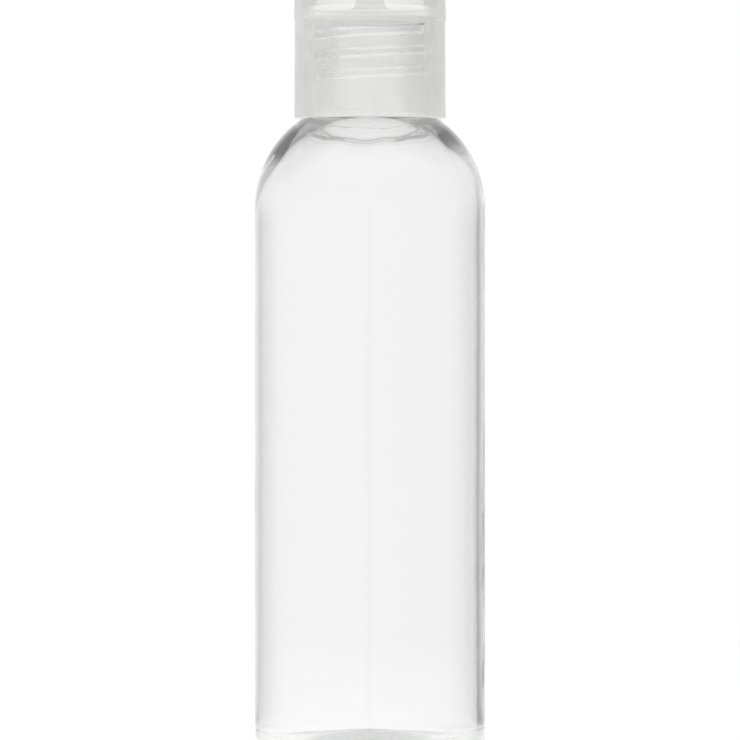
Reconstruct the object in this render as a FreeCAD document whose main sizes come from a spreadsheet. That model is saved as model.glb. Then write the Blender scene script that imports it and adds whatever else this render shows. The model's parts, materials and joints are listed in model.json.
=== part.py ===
"""A clear travel bottle with a press-top dispensing cap, modelled in millimetres.

The bottle is one blow-moulded piece that stands on +Z with its foot at the origin. Its neck carries a
coarse right-hand thread. A sealing washer lies on the mouth of the neck, under the deck of the screwed
cap. A disc tips on two pins in the top of the cap: its back half is pressed down, and the spout in its
front half, on -Y, comes up over the rim. The disc's socket swings on a ball at the top of the cap's
nozzle. It covers the hole in the ball while the disc is level, and uncovers it as the spout comes up.
"""

import FreeCAD, Part

import math
import os

import Sketcher

# Driving sizes, in millimetres, turns or degrees. Every other size is worked out from these.
SIZES = [
    ("body_diameter", 35.4, "outside of the straight wall"),
    ("body_wall", 0.6, "thickness of the straight wall"),
    ("shoulder_start", 85.1, "height at which the straight wall ends"),
    ("shoulder_radius", 16.6, "round of the shoulder, outside"),
    ("shoulder_thickening", 1.0, "how much tighter and lower the shoulder's inner round is"),
    ("heel_radius", 4.0, "round between the wall and the foot"),
    ("heel_thickening", 1.6, "how much higher the heel's inner round is"),
    ("foot_width", 1.0, "flat ring that the bottle stands on"),
    ("push_up", 3.3, "height of the dome under the base"),
    ("base_thickness", 1.5, "thickness of the base on the axis"),
    ("gate_radius", 1.3, "moulding gate under the base"),
    ("gate_height", 0.5, "how far the gate stands out"),
    ("finish_height", 14.2, "neck, from the shoulder to the mouth"),
    ("neck_diameter", 17.6, "neck at the root of its thread"),
    ("neck_wall", 1.4, "wall of the neck"),
    ("bead_reach", 1.05, "how far the ring at the foot of the neck stands out"),
    ("bead_thickness", 1.3, "height of that ring"),
    ("mouth_round", 0.35, "round on the lip of the mouth"),
    ("throat_round", 1.6, "round where the bore opens into the shoulder"),
    ("thread_pitch", 3.175, "rise in one turn"),
    ("thread_depth", 1.05, "how far each ridge stands out of its wall"),
    ("neck_thread_turns", 1.5, "turns of the ridge on the neck"),
    ("neck_thread_drop", 1.1, "from the mouth to the top of that ridge"),
    ("neck_ridge_root", 2.0, "width of the neck's ridge at its root"),
    ("neck_ridge_crest", 0.9, "width of the neck's ridge at its crest"),
    ("neck_thread_azimuth", 207.0, "where the lower end of that ridge lies"),
    ("cap_thread_turns", 2.3333, "turns of the ridge in the cap"),
    ("cap_thread_azimuth", 210.0, "where the lower end of that ridge lies"),
    ("cap_ridge_root", 1.6, "width of the cap's ridge at its root"),
    ("cap_ridge_crest", 0.7, "width of the cap's ridge at its crest"),
    ("ridge_run_out", 35.0, "slope of each end of a ridge"),
    ("thread_clearance", 0.25, "between each crest and the wall it faces"),
    ("flank_clearance", 0.2, "along the axis, between ridges at half their depth"),
    ("washer_thickness", 1.0, "sealing washer"),
    ("washer_hole", 8.0, "hole in the washer"),
    ("washer_clearance", 0.15, "between the washer's edge and the cap"),
    ("skirt_wall", 1.55, "cap wall round the thread, at its foot"),
    ("skirt_gap", 0.3, "above the shoulder, at the inside of the cap's foot"),
    ("skirt_lead_in", 0.8, "chamfer inside the cap's foot"),
    ("skirt_foot_round", 0.4, "round outside the cap's foot"),
    ("skirt_draft", 0.09, "how much the skirt draws in towards its top"),
    ("parting_step", 0.14, "step where the top of the cap begins"),
    ("parting_drop", 0.6, "from the deck's underside down to that step"),
    ("crown_draft", 0.2, "how much the top of the cap draws in"),
    ("deck_thickness", 1.1, "floor over the mouth"),
    ("chamber_height", 6.1, "from the deck to the rim of the cap"),
    ("crown_wall", 1.4, "cap wall above the step"),
    ("rim_round", 0.6, "round on the outside of the rim"),
    ("rim_inner_round", 0.25, "round on the inside of the rim"),
    ("deck_round", 0.5, "round between the deck and the wall"),
    ("pivot_height", 2.9, "pins' axis above the deck"),
    ("ball_diameter", 4.9, "ball on top of the nozzle"),
    ("stem_diameter", 4.4, "nozzle under its ball"),
    ("flare_radius", 1.3, "round between the nozzle and the deck"),
    ("nozzle_well", 2.6, "wide hole in the nozzle, from below"),
    ("nozzle_bore", 1.5, "narrow hole through the top of the ball"),
    ("nozzle_well_top", 0.6, "top of the wide hole, above the pins' axis"),
    ("disc_clearance", 0.12, "between the disc's edge and the chamber"),
    ("plate_thickness", 1.1, "top plate of the disc"),
    ("plate_edge_round", 0.2, "round on the disc's top edge"),
    ("disc_rim_width", 0.8, "rim under the plate"),
    ("disc_rim_depth", 1.3, "how far that rim reaches down"),
    ("socket_clearance", 0.06, "between the ball and the disc's socket"),
    ("socket_wall", 0.9, "wall of the socket"),
    ("socket_drop", 0.15, "how far the socket reaches below the pins' axis"),
    ("spout_width", 4.6, "outside of the spout"),
    ("spout_drop", 0.6, "floor of the spout, below the pins' axis"),
    ("channel_diameter", 1.7, "hole through the spout"),
    ("channel_height", 1.2, "hole through the spout, above the pins' axis"),
    ("pin_diameter", 1.6, "pins that the disc tips on"),
    ("pin_reach", 0.42, "how far each pin stands out of the disc"),
    ("pin_chamfer", 0.15, "chamfer on the end of each pin"),
    ("pin_clearance", 0.08, "round each pin, in its dimple"),
    ("pin_end_clearance", 0.15, "between each pin's end and its dimple"),
    ("lug_length", 4.4, "lug behind each pin, along Y"),
    ("lug_thickness", 1.6, "lug behind each pin, along X"),
    ("lug_drop", 1.2, "how far each lug reaches below the pins' axis"),
    ("stop_azimuth", 52.0, "stops, either side of the spout"),
    ("stop_width", 2.0, "each stop that holds the disc level"),
    ("stop_reach", 0.7, "how far each stop stands in from the wall"),
    ("stop_height", 1.1, "height of each stop"),
    ("stop_gap", 0.1, "between each stop and the disc's rim"),
    ("dish_radius", 24.0, "round of the hollow for the thumb"),
    ("dish_depth", 0.35, "depth of that hollow"),
    ("dish_offset", 4.6, "from the axis back to that hollow"),
]

# Places that several pieces share, each worked out from the sizes above.
WALL_RADIUS = "(Sizes.body_diameter / 2)"
INNER_RADIUS = "(Sizes.body_diameter / 2 - Sizes.body_wall)"
NECK_RADIUS = "(Sizes.neck_diameter / 2)"
NECK_CREST = "(Sizes.neck_diameter / 2 + Sizes.thread_depth)"
BEAD_RADIUS = "(Sizes.neck_diameter / 2 + Sizes.bead_reach)"
BORE_RADIUS = "(Sizes.neck_diameter / 2 - Sizes.neck_wall)"
SHOULDER_CENTRE = f"({WALL_RADIUS} - Sizes.shoulder_radius)"
NECK_FOOT = (
    f"(Sizes.shoulder_start + sqrt(Sizes.shoulder_radius ^ 2 - ({BEAD_RADIUS} - {SHOULDER_CENTRE}) ^ 2))"
)
MOUTH = f"({NECK_FOOT} + Sizes.finish_height)"
DECK_UNDER = f"({MOUTH} + Sizes.washer_thickness)"
DECK_TOP = f"({DECK_UNDER} + Sizes.deck_thickness)"
PIVOT = f"({DECK_TOP} + Sizes.pivot_height)"
RIM = f"({DECK_TOP} + Sizes.chamber_height)"
CAP_BORE = f"({NECK_CREST} + Sizes.thread_clearance)"
CAP_CREST = f"({NECK_RADIUS} + Sizes.thread_clearance)"
FOOT_BORE = f"({CAP_BORE} + Sizes.skirt_lead_in)"
CAP_FOOT = (
    f"(Sizes.shoulder_start + sqrt(Sizes.shoulder_radius ^ 2 - ({FOOT_BORE} - {SHOULDER_CENTRE}) ^ 2)"
    " + Sizes.skirt_gap)"
)
SKIRT_FOOT_RADIUS = f"({CAP_BORE} + Sizes.skirt_wall)"
SKIRT_TOP_RADIUS = f"({SKIRT_FOOT_RADIUS} - Sizes.skirt_draft)"
CROWN_RADIUS = f"({SKIRT_TOP_RADIUS} + Sizes.parting_step)"
CROWN_TOP_RADIUS = f"({CROWN_RADIUS} - Sizes.crown_draft)"
CHAMBER_RADIUS = f"({CROWN_RADIUS} - Sizes.crown_wall)"

# Heights in the disc are measured from its pins' axis.
DISC_SPHERE = f"({CHAMBER_RADIUS} - Sizes.disc_clearance)"
PLATE_TOP = "(Sizes.chamber_height - Sizes.pivot_height)"
PLATE_UNDER = f"({PLATE_TOP} - Sizes.plate_thickness)"
DISC_FOOT = f"({PLATE_UNDER} - Sizes.disc_rim_depth)"
PLATE_EDGE = f"sqrt({DISC_SPHERE} ^ 2 - {PLATE_TOP} ^ 2)"
SOCKET_RADIUS = "(Sizes.ball_diameter / 2 + Sizes.socket_clearance)"

NECK_RIDGE_START = (
    f"({MOUTH} - Sizes.neck_thread_drop - Sizes.neck_ridge_root / 2"
    " - Sizes.neck_thread_turns * Sizes.thread_pitch)"
)
# Each ridge of the cap lies under a ridge of the neck, at this distance from its middle.
RIDGE_DROP = (
    "((Sizes.neck_ridge_root + Sizes.neck_ridge_crest + Sizes.cap_ridge_root + Sizes.cap_ridge_crest) / 4"
    " + Sizes.flank_clearance)"
)
CAP_RIDGE_START = (
    f"({NECK_RIDGE_START} - {RIDGE_DROP} - Sizes.thread_pitch"
    " * (Sizes.neck_thread_azimuth - Sizes.cap_thread_azimuth) / 360)"
)

# How far a piece reaches into the solid it is joined to, and past the solid it is cut from.
OVERLAP = 0.3
OVERSHOOT = 1.0

doc = FreeCAD.newDocument("TravelBottle")


def make_sheet():
    """The spreadsheet that every sketch and feature reads."""
    table = doc.addObject("Spreadsheet::Sheet", "Sizes")
    for row, (alias, size, note) in enumerate(SIZES, start=1):
        table.set(f"A{row}", alias)
        table.set(f"B{row}", str(size))
        table.set(f"C{row}", note)
        table.setAlias(f"B{row}", alias)
    doc.recompute()
    return table


sheet = make_sheet()


def value(expression):
    """The number that an expression of the sheet's sizes gives."""
    return float(sheet.evalExpression(expression))


def origin_feature(body, role):
    """A body's own plane or axis, such as XZ_Plane."""
    return next(feature for feature in body.Origin.OriginFeatures if feature.Role == role)


def new_body(label):
    body = doc.addObject("PartDesign::Body", label)
    body.Label = label
    return body


def new_sketch(body, name, role, turn=None, **shift):
    """A sketch on one of the body's planes, turned about Z and moved along its own x, y or z if asked."""
    sketch = body.newObject("Sketcher::SketchObject", name)
    sketch.AttachmentSupport = [(origin_feature(body, role), "")]
    sketch.MapMode = "FlatFace"
    if turn is not None:
        upward = FreeCAD.Vector(0, 0, 1) if role == "XY_Plane" else FreeCAD.Vector(0, 1, 0)
        placed = FreeCAD.Placement(FreeCAD.Vector(), FreeCAD.Rotation(upward, value(turn)))
        sketch.AttachmentOffset = placed
        sketch.setExpression("AttachmentOffset.Rotation.Angle", turn)
    for direction, distance in shift.items():
        sketch.setExpression(f"AttachmentOffset.Base.{direction}", distance)
    return sketch


def fix_size(sketch, constraint, expression):
    """Adds a constraint whose size follows an expression."""
    number = sketch.addConstraint(constraint)
    sketch.setExpression(f"Constraints[{number}]", expression)


def arc_between(start, end, radius):
    """The shorter arc from start to end. A positive radius bulges to the right of the way there."""
    chord = end.sub(start)
    half = chord.Length / 2
    right = FreeCAD.Vector(chord.y, -chord.x, 0).normalize()
    rise = abs(radius) - math.sqrt(max(radius * radius - half * half, 0.0))
    middle = start.add(end).multiply(0.5).add(right.multiply(math.copysign(rise, radius)))
    return Part.Arc(start, middle, end)


def draw_outline(sketch, corners):
    """Draws a closed outline through (across, up) corners.

    A third entry in a corner is the radius of the arc that leaves it. Other sides are straight.
    """
    points = [FreeCAD.Vector(value(corner[0]), value(corner[1]), 0) for corner in corners]
    ends = []
    for number, corner in enumerate(corners):
        start, end = points[number], points[(number + 1) % len(corners)]
        if len(corner) == 2:
            edge = sketch.addGeometry(Part.LineSegment(start, end), False)
            ends.append((edge, 1, 2))
            continue
        edge = sketch.addGeometry(arc_between(start, end, value(corner[2])), False)
        to_first = sketch.getPoint(edge, 1).distanceToPoint(start)
        to_second = sketch.getPoint(edge, 2).distanceToPoint(start)
        ends.append((edge, 1, 2) if to_first < to_second else (edge, 2, 1))
    for number, (edge, first, last) in enumerate(ends):
        following = ends[(number + 1) % len(ends)]
        sketch.addConstraint(Sketcher.Constraint("Coincident", edge, last, following[0], following[1]))
    for (edge, first, last), corner in zip(ends, corners):
        for kind, expression in (("DistanceX", corner[0]), ("DistanceY", corner[1])):
            size = Sketcher.Constraint(kind, -1, 1, edge, first, value(expression))
            fix_size(sketch, size, expression)
        if len(corner) == 3:
            size = Sketcher.Constraint("Radius", edge, abs(value(corner[2])))
            fix_size(sketch, size, f"abs({corner[2]})")


def draw_circle(sketch, across, up, radius):
    centre = FreeCAD.Vector(value(across), value(up), 0)
    edge = sketch.addGeometry(Part.Circle(centre, FreeCAD.Vector(0, 0, 1), value(radius)), False)
    for kind, expression in (("DistanceX", across), ("DistanceY", up)):
        size = Sketcher.Constraint(kind, -1, 1, edge, 3, value(expression))
        fix_size(sketch, size, expression)
    fix_size(sketch, Sketcher.Constraint("Radius", edge, value(radius)), radius)


def rectangle(left, low, right, high):
    """The corners of an upright rectangle."""
    return [(left, low), (right, low), (right, high), (left, high)]


def turned(body, name, outlines, kind="PartDesign::Revolution", about="V_Axis", role="XZ_Plane", **shift):
    """A solid, or a cut, turned about an axis of the sketch that holds the outlines."""
    sketch = new_sketch(body, f"{name}_outline", role, **shift)
    for outline in outlines:
        draw_outline(sketch, outline)
    feature = body.newObject(kind, name)
    feature.Profile = sketch
    feature.ReferenceAxis = (sketch, [about])
    feature.Angle = 360
    return feature


def padded(body, name, sketch, length, kind="PartDesign::Pad", reverse=False):
    """A pad, or a pocket, of a sketch."""
    feature = body.newObject(kind, name)
    feature.Profile = sketch
    feature.setExpression("Length", length)
    feature.Reversed = reverse
    return feature


def ring_edges(shape, rings):
    """Names of the shape's full circles about Z that have one of the given (radius, height) pairs."""
    wanted = [(value(radius), value(height)) for radius, height in rings]
    found = []
    for number, edge in enumerate(shape.Edges, start=1):
        if edge.Degenerated or not isinstance(edge.Curve, Part.Circle):
            continue
        centre = edge.Curve.Center
        if math.hypot(centre.x, centre.y) > 1e-6:
            continue
        for radius, height in wanted:
            if abs(edge.Curve.Radius - radius) < 1e-4 and abs(centre.z - height) < 1e-4:
                found.append(f"Edge{number}")
    return found


def rounded(body, name, rings, radius):
    """A fillet on circles about Z, given as (radius, height) pairs, of the body's latest feature."""
    doc.recompute()
    base = body.Tip
    edges = ring_edges(base.Shape, rings)
    if len(edges) != len(rings):
        raise ValueError(f"{name}: {len(edges)} edges found, {len(rings)} wanted")
    fillet = body.newObject("PartDesign::Fillet", name)
    fillet.Base = (base, edges)
    fillet.setExpression("Radius", radius)
    return fillet


def make_ridge(label, wall, crest, root_width, crest_width, start, azimuth, turns):
    """A helical ridge on a round wall, with both of its ends sloped off.

    It stands out of the wall where the crest has the larger radius, and inwards where it has the smaller.
    """
    outward = value(crest) > value(wall)
    buried = f"({wall} - {OVERLAP})" if outward else f"({wall} + {OVERLAP})"
    clear = f"({crest} + {OVERSHOOT})" if outward else f"({crest} - {OVERSHOOT})"
    body = new_body(label)
    section = new_sketch(body, f"{label}_section", "XZ_Plane", turn=azimuth)
    draw_outline(
        section,
        [
            (buried, f"{start} - {root_width} / 2"),
            (wall, f"{start} - {root_width} / 2"),
            (crest, f"{start} - {crest_width} / 2"),
            (crest, f"{start} + {crest_width} / 2"),
            (wall, f"{start} + {root_width} / 2"),
            (buried, f"{start} + {root_width} / 2"),
        ],
    )
    helix = body.newObject("PartDesign::AdditiveHelix", f"{label}_helix")
    helix.Profile = section
    helix.ReferenceAxis = (section, ["V_Axis"])
    helix.Mode = "pitch-turns-angle"
    helix.setExpression("Pitch", "Sizes.thread_pitch")
    helix.setExpression("Turns", turns)
    helix.LeftHanded = False
    slope = f"(abs({clear} - {wall}) / tan(Sizes.ridge_run_out * 1deg))"
    finish = f"({azimuth} + 360 * {turns})"
    top = f"({start} + {turns} * Sizes.thread_pitch)"
    for end, at, height, way in (("lower", azimuth, start, 1), ("upper", finish, top, -1)):
        lift = f"{height} + Sizes.thread_pitch / 2"
        sketch = new_sketch(body, f"{label}_{end}_slope", "XY_Plane", turn=at, z=lift)
        back = f"{-way * OVERSHOOT}"
        draw_outline(sketch, [(wall, back), (wall, "0"), (clear, f"{way} * {slope}"), (clear, back)])
        padded(body, f"{label}_{end}_end", sketch, "Sizes.thread_pitch", "PartDesign::Pocket")
    return body


def join(body, name, other):
    """Adds another body to this one."""
    feature = body.newObject("PartDesign::Boolean", name)
    feature.Type = "Fuse"
    feature.setObjects([other])
    return feature


def make_bottle():
    """The blown bottle: domed base, straight wall, round shoulder and threaded neck."""
    foot_outer = f"({WALL_RADIUS} - Sizes.heel_radius)"
    foot_inner = f"({foot_outer} - Sizes.foot_width)"
    dome = f"(({foot_inner} ^ 2 + Sizes.push_up ^ 2) / (2 * Sizes.push_up))"
    inner_foot = f"({foot_outer} - Sizes.foot_width / 2)"
    floor_top = "(Sizes.push_up + Sizes.base_thickness)"
    floor_edge = "(Sizes.body_wall + Sizes.heel_thickening)"
    floor_rise = f"({floor_top} - {floor_edge})"
    inner_dome = f"(({inner_foot} ^ 2 + {floor_rise} ^ 2) / (2 * {floor_rise}))"
    # The shoulder grows thicker towards the neck, because its inner round starts lower on the wall.
    inner_round = "(Sizes.shoulder_radius - Sizes.shoulder_thickening)"
    inner_start = "(Sizes.shoulder_start - Sizes.shoulder_thickening)"
    inner_centre = f"({INNER_RADIUS} - {inner_round})"
    throat = f"({inner_start} + sqrt({inner_round} ^ 2 - ({BORE_RADIUS} - {inner_centre}) ^ 2))"
    bead_top = f"({NECK_FOOT} + Sizes.bead_thickness)"
    body = new_body("bottle")
    outline = [
        ("0", "Sizes.push_up", f"-{dome}"),
        (foot_inner, "0"),
        (foot_outer, "0", "Sizes.heel_radius"),
        (WALL_RADIUS, "Sizes.heel_radius"),
        (WALL_RADIUS, "Sizes.shoulder_start", "Sizes.shoulder_radius"),
        (BEAD_RADIUS, NECK_FOOT),
        (BEAD_RADIUS, bead_top),
        (NECK_RADIUS, bead_top),
        (NECK_RADIUS, MOUTH),
        (BORE_RADIUS, MOUTH),
        (BORE_RADIUS, throat, f"-{inner_round}"),
        (INNER_RADIUS, inner_start),
        (INNER_RADIUS, "Sizes.heel_radius + Sizes.heel_thickening", "-(Sizes.heel_radius - Sizes.body_wall)"),
        (foot_outer, floor_edge),
        (inner_foot, floor_edge, inner_dome),
        ("0", floor_top),
    ]
    turned(body, "blown_wall", [outline])
    rounded(body, "throat", [(BORE_RADIUS, throat)], "Sizes.throat_round")
    rounded(body, "lip", [(NECK_RADIUS, MOUTH), (BORE_RADIUS, MOUTH)], "Sizes.mouth_round")
    rounded(body, "bead", [(BEAD_RADIUS, bead_top)], "Sizes.mouth_round")
    gate = new_sketch(body, "gate_outline", "XY_Plane", z="Sizes.push_up - Sizes.gate_height")
    draw_circle(gate, "0", "0", "Sizes.gate_radius")
    padded(body, "gate", gate, "Sizes.gate_height + Sizes.base_thickness / 2")
    ridge = make_ridge(
        "neck_ridge",
        NECK_RADIUS,
        NECK_CREST,
        "Sizes.neck_ridge_root",
        "Sizes.neck_ridge_crest",
        NECK_RIDGE_START,
        "Sizes.neck_thread_azimuth",
        "Sizes.neck_thread_turns",
    )
    doc.recompute()
    join(body, "threaded_neck", ridge)
    return body


def make_washer():
    """The sealing washer that lies on the mouth."""
    body = new_body("sealing_washer")
    edge = f"({CAP_BORE} - Sizes.washer_clearance)"
    turned(body, "washer", [rectangle("Sizes.washer_hole / 2", MOUTH, edge, DECK_UNDER)])
    return body


def make_cap():
    """The cap: a threaded skirt, a deck with its nozzle, and the open chamber that the disc tips in."""
    body = new_body("cap_shell")
    step = f"({DECK_UNDER} - Sizes.parting_drop)"
    outline = [
        (FOOT_BORE, CAP_FOOT),
        (SKIRT_FOOT_RADIUS, CAP_FOOT),
        (SKIRT_TOP_RADIUS, step),
        (CROWN_RADIUS, step),
        (CROWN_TOP_RADIUS, RIM),
        (CHAMBER_RADIUS, RIM),
        (CHAMBER_RADIUS, DECK_TOP),
        ("0", DECK_TOP),
        ("0", DECK_UNDER),
        (CAP_BORE, DECK_UNDER),
        (CAP_BORE, f"{CAP_FOOT} + Sizes.skirt_lead_in"),
    ]
    turned(body, "shell", [outline])
    rounded(body, "foot", [(SKIRT_FOOT_RADIUS, CAP_FOOT)], "Sizes.skirt_foot_round")
    rounded(body, "rim", [(CROWN_TOP_RADIUS, RIM)], "Sizes.rim_round")
    rounded(body, "inner_rim", [(CHAMBER_RADIUS, RIM)], "Sizes.rim_inner_round")
    rounded(body, "deck_corner", [(CHAMBER_RADIUS, DECK_TOP)], "Sizes.deck_round")
    make_dimples(body)
    make_stops(body)
    make_nozzle(body)
    ridge = make_ridge(
        "cap_ridge",
        CAP_BORE,
        CAP_CREST,
        "Sizes.cap_ridge_root",
        "Sizes.cap_ridge_crest",
        CAP_RIDGE_START,
        "Sizes.cap_thread_azimuth",
        "Sizes.cap_thread_turns",
    )
    doc.recompute()
    join(body, "threaded_skirt", ridge)
    return body


def make_dimples(body):
    """The two dimples in the chamber wall that the pins sit in."""
    near = f"({CHAMBER_RADIUS} - {OVERSHOOT})"
    far = f"({DISC_SPHERE} + Sizes.pin_reach + Sizes.pin_end_clearance)"
    radius = "Sizes.pin_diameter / 2 + Sizes.pin_clearance"
    right = rectangle(near, "0", far, radius)
    left = rectangle(f"-{far}", "0", f"-{near}", radius)
    turned(body, "dimples", [right, left], "PartDesign::Groove", "H_Axis", y=PIVOT)


def make_stops(body):
    """The two stops under the front of the disc, either side of the spout."""
    top = f"({PIVOT} + {DISC_FOOT} - Sizes.stop_gap)"
    half = "Sizes.stop_width / 2"
    outline = rectangle(
        f"{CHAMBER_RADIUS} - Sizes.stop_reach", f"-{half}", f"{CHAMBER_RADIUS} + {OVERLAP}", half
    )
    for side, azimuth in (("left", "270 - Sizes.stop_azimuth"), ("right", "270 + Sizes.stop_azimuth")):
        sketch = new_sketch(body, f"{side}_stop_outline", "XY_Plane", turn=azimuth, z=top)
        draw_outline(sketch, outline)
        padded(body, f"{side}_stop", sketch, "Sizes.stop_height", reverse=True)


def make_nozzle(body):
    """The flared nozzle on the deck, with the ball that the disc's socket swings on."""
    stem = "(Sizes.stem_diameter / 2)"
    ball = "(Sizes.ball_diameter / 2)"
    buried = f"({DECK_TOP} - Sizes.deck_thickness / 2)"
    flare_edge = f"({stem} + Sizes.flare_radius)"
    outline = [
        ("0", buried),
        (flare_edge, buried),
        (flare_edge, DECK_TOP, "-Sizes.flare_radius"),
        (stem, f"{DECK_TOP} + Sizes.flare_radius"),
        (stem, f"{PIVOT} - sqrt({ball} ^ 2 - {stem} ^ 2)", ball),
        ("0", f"{PIVOT} + {ball}"),
    ]
    turned(body, "nozzle", [outline])
    below = f"({DECK_UNDER} - {OVERSHOOT})"
    for name, width, top in (
        ("nozzle_well", "Sizes.nozzle_well", f"({PIVOT} + Sizes.nozzle_well_top)"),
        ("nozzle_bore", "Sizes.nozzle_bore", f"({PIVOT} + {ball} + {OVERSHOOT})"),
    ):
        sketch = new_sketch(body, f"{name}_outline", "XY_Plane", z=below)
        draw_circle(sketch, "0", "0", f"{width} / 2")
        padded(body, name, sketch, f"{top} - {below}", "PartDesign::Pocket", reverse=True)


def make_disc():
    """The press disc, drawn about its pins' axis and then lifted into the cap.

    Its edge is a band of a ball about the middle of that axis, so it clears the round wall at every tilt.
    """
    body = new_body("press_disc")
    body.setExpression("Placement.Base.z", PIVOT)
    rim_inner = f"({DISC_SPHERE} - Sizes.disc_rim_width)"
    blank = f"({DISC_SPHERE} + {OVERLAP})"
    inside_plate = f"({PLATE_UNDER} + Sizes.plate_thickness / 2)"
    outline = [
        ("0", PLATE_UNDER),
        (rim_inner, PLATE_UNDER),
        (rim_inner, DISC_FOOT),
        (blank, DISC_FOOT),
        (blank, PLATE_TOP),
        ("0", PLATE_TOP),
    ]
    turned(body, "plate", [outline])
    socket = rectangle("0", "-Sizes.socket_drop", f"{SOCKET_RADIUS} + Sizes.socket_wall", inside_plate)
    turned(body, "socket", [socket])
    spout = new_sketch(body, "spout_outline", "XZ_Plane")
    half = "Sizes.spout_width / 2"
    draw_outline(spout, rectangle(f"-{half}", "-Sizes.spout_drop", half, inside_plate))
    padded(body, "spout", spout, DISC_SPHERE)
    lugs = new_sketch(body, "lugs_outline", "XY_Plane", z="-Sizes.lug_drop")
    half = "Sizes.lug_length / 2"
    lug_inner = f"({DISC_SPHERE} - Sizes.lug_thickness)"
    draw_outline(lugs, rectangle(lug_inner, f"-{half}", DISC_SPHERE, half))
    draw_outline(lugs, rectangle(f"-{DISC_SPHERE}", f"-{half}", f"-{lug_inner}", half))
    padded(body, "lugs", lugs, f"{inside_plate} + Sizes.lug_drop")
    trim_to_ball(body)
    rounded(body, "plate_edge", [(PLATE_EDGE, PLATE_TOP)], "Sizes.plate_edge_round")
    cut_passage(body)
    make_pins(body)
    dish_width = "sqrt(2 * Sizes.dish_radius * Sizes.dish_depth - Sizes.dish_depth ^ 2)"
    dish = [
        ("0", f"{PLATE_TOP} - Sizes.dish_depth", "Sizes.dish_radius"),
        (dish_width, PLATE_TOP),
        (dish_width, f"{PLATE_TOP} + {OVERLAP}"),
        ("0", f"{PLATE_TOP} + {OVERLAP}"),
    ]
    turned(body, "dish", [dish], "PartDesign::Groove", role="YZ_Plane", x="Sizes.dish_offset")
    return body


def trim_to_ball(body):
    """Takes away all that stands out of the ball that the disc turns in."""
    low = f"(Sizes.lug_drop + {OVERLAP})"
    high = f"({PLATE_TOP} + {OVERLAP})"
    far = f"({DISC_SPHERE} + {OVERSHOOT})"
    outline = [
        (f"sqrt({DISC_SPHERE} ^ 2 - {low} ^ 2)", f"-{low}", DISC_SPHERE),
        (f"sqrt({DISC_SPHERE} ^ 2 - {high} ^ 2)", high),
        (far, high),
        (far, f"-{low}"),
    ]
    turned(body, "ball_edge", [outline], "PartDesign::Groove")


def cut_passage(body):
    """The round socket that swings on the ball, and the hole from it to the front of the spout."""
    mouth = f"sqrt({SOCKET_RADIUS} ^ 2 - Sizes.socket_drop ^ 2)"
    low = f"(Sizes.spout_drop + {OVERLAP})"
    outline = [
        ("0", f"-{low}"),
        (mouth, f"-{low}"),
        (mouth, "-Sizes.socket_drop", SOCKET_RADIUS),
        ("0", SOCKET_RADIUS),
    ]
    turned(body, "socket_hollow", [outline], "PartDesign::Groove")
    sketch = new_sketch(body, "channel_outline", "XZ_Plane")
    draw_circle(sketch, "0", "Sizes.channel_height", "Sizes.channel_diameter / 2")
    padded(body, "channel", sketch, f"{DISC_SPHERE} + {OVERSHOOT}", "PartDesign::Pocket", reverse=True)


def make_pins(body):
    """The two pins that the disc tips on."""
    near = f"({DISC_SPHERE} - Sizes.lug_thickness / 2)"
    far = f"({DISC_SPHERE} + Sizes.pin_reach)"
    radius = "(Sizes.pin_diameter / 2)"
    slope = f"({far} - Sizes.pin_chamfer)"
    tip = f"({radius} - Sizes.pin_chamfer)"
    right = [(near, "0"), (far, "0"), (far, tip), (slope, radius), (near, radius)]
    left = [(f"-{across}", up) for across, up in reversed(right)]
    turned(body, "pins", [right, left], about="H_Axis")


def main():
    pieces = [make_bottle(), make_washer(), make_cap(), make_disc()]
    doc.recompute()
    for thing in doc.Objects:
        if "Invalid" in thing.State or "Error" in thing.State:
            raise ValueError(f"{thing.Label} failed: {thing.State}")
    os.makedirs("parts", exist_ok=True)
    for piece in pieces:
        shape = piece.Shape
        if shape.isNull() or not shape.isValid() or len(shape.Solids) != 1:
            raise ValueError(f"{piece.Label} is not one valid solid")
        shape.exportStep(f"parts/{piece.Label}.step")
        print(piece.Label, round(shape.Volume, 3), shape.BoundBox)


main()
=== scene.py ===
"""A clear travel bottle with a press-top cap, standing on a pale floor against white.

All lengths are in metres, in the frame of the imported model. Z is up, and the camera looks along +Y.
"""

import json
import math

import bpy
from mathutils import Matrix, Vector, noise


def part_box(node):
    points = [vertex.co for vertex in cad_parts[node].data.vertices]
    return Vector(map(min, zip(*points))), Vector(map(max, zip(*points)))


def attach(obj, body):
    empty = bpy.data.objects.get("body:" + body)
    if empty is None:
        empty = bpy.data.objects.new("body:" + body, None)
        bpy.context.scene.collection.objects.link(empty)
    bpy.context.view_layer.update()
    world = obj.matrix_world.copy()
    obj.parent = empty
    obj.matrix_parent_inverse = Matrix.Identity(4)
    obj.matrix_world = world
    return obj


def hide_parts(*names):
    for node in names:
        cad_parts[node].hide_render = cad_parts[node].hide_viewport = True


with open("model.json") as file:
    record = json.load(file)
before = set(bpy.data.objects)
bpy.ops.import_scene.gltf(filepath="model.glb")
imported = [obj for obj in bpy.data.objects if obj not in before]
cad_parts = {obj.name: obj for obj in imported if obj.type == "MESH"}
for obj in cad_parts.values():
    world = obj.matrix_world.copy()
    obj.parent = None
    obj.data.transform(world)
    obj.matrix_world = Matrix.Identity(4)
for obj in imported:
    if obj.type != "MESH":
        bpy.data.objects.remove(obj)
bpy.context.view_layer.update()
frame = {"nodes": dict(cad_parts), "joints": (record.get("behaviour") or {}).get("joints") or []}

MM = 0.001
TURN = 2 * math.pi
CLOSE = 0.01 * MM
SEGMENTS = 240

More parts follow.
